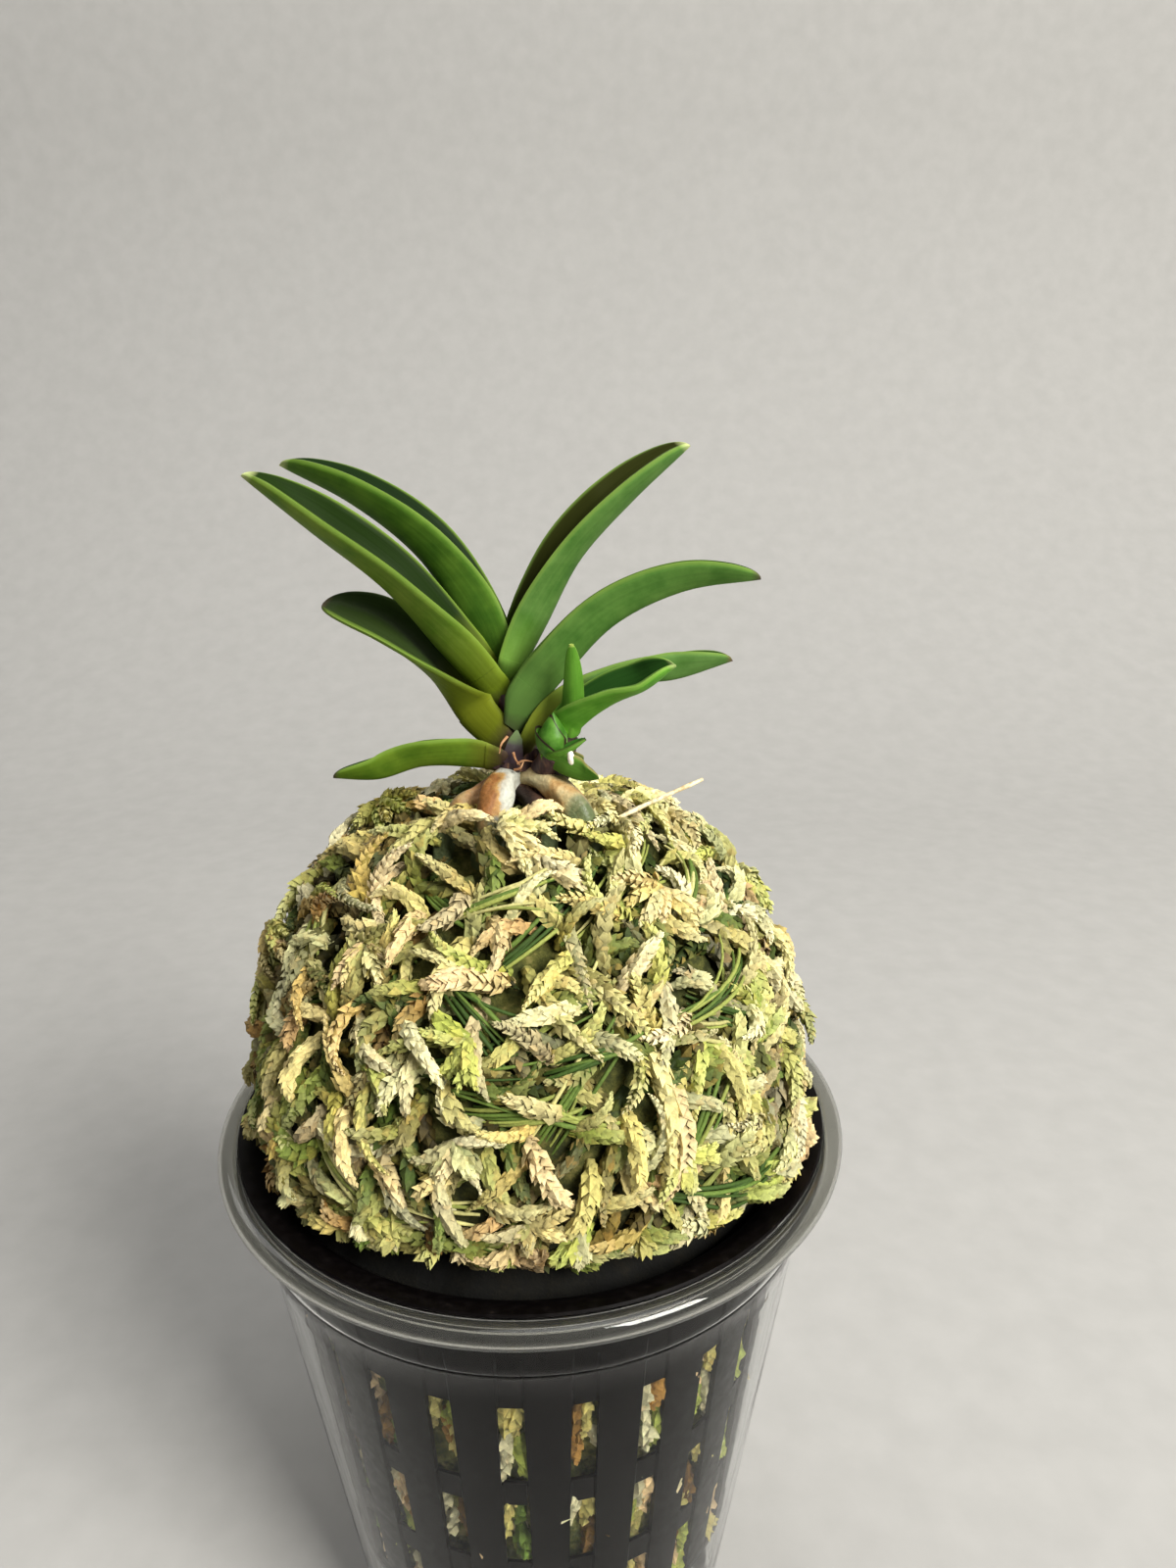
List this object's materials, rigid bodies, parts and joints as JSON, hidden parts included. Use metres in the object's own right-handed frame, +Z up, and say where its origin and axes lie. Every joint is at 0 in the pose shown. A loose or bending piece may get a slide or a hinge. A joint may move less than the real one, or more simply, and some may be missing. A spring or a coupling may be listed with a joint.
{
  "type": "potted wind orchid",
  "caption": "Small fan-leaved wind orchid with an offshoot, on a dome of sphagnum moss in a slotted net pot set in a clear tapered cup.",
  "frame": {"origin": "centre of the cup's foot, on the surface it stands on", "axes": "+Z up through the cup and the plant, -Y towards the front from which the leaf fan is seen flat"},
  "size_m": [0.092, 0.092, 0.1909],
  "materials": {
    "clear_plastic": "clear, glossy",
    "black_plastic": "satin moulded",
    "moss": "dry sphagnum, leafy and rough",
    "stem": "dry papery sheaths",
    "leaf": "waxy, satin",
    "root": "velamen, velvety matt",
    "straw": "dry, matt"
  },
  "bodies": {
    "root": {"clear_cup": "clear_plastic", "net_pot": "black_plastic", "moss": "moss", "stem": "stem", "offshoot_stem": "stem", "leaf_left_1": "leaf", "leaf_right_1": "leaf", "leaf_left_2": "leaf", "leaf_right_2": "leaf", "leaf_left_3": "leaf", "leaf_right_3": "leaf", "leaf_left_4": "leaf", "offshoot_leaf_long": "leaf", "offshoot_leaf_upright": "leaf", "offshoot_leaf_stub": "leaf", "root_front": "root", "root_right": "root", "root_small": "root", "root_left": "root", "straw": "straw"}
  },
  "joints": []
}
